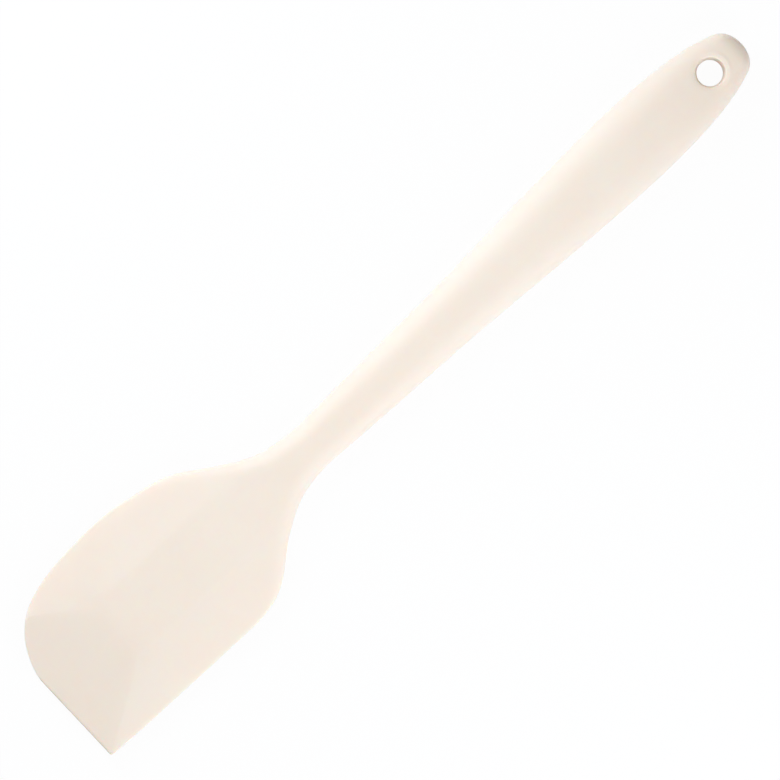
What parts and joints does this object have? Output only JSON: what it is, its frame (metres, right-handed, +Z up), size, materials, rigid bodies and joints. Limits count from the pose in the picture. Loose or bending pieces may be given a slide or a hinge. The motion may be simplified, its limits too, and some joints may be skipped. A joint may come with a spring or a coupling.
{
  "type": "silicone spatula",
  "caption": "Silicone spatula with a flat bevelled scraper blade, a rounded and a sharp corner, slim neck, oval grip and hanging hole, moulded over a hidden steel core.",
  "frame": {"origin": "under the middle of the part, on the surface that it lies on", "axes": "+X along the handle to the hanging end, +Y to the blade's rounded corner, +Z up along the hanging hole"},
  "size_m": [0.28, 0.0545, 0.014],
  "materials": {
    "silicone": "matte cream silicone",
    "steel": "plain stamped strip"
  },
  "bodies": {
    "root": {"silicone_body": "silicone", "steel_core": "steel"}
  },
  "joints": []
}
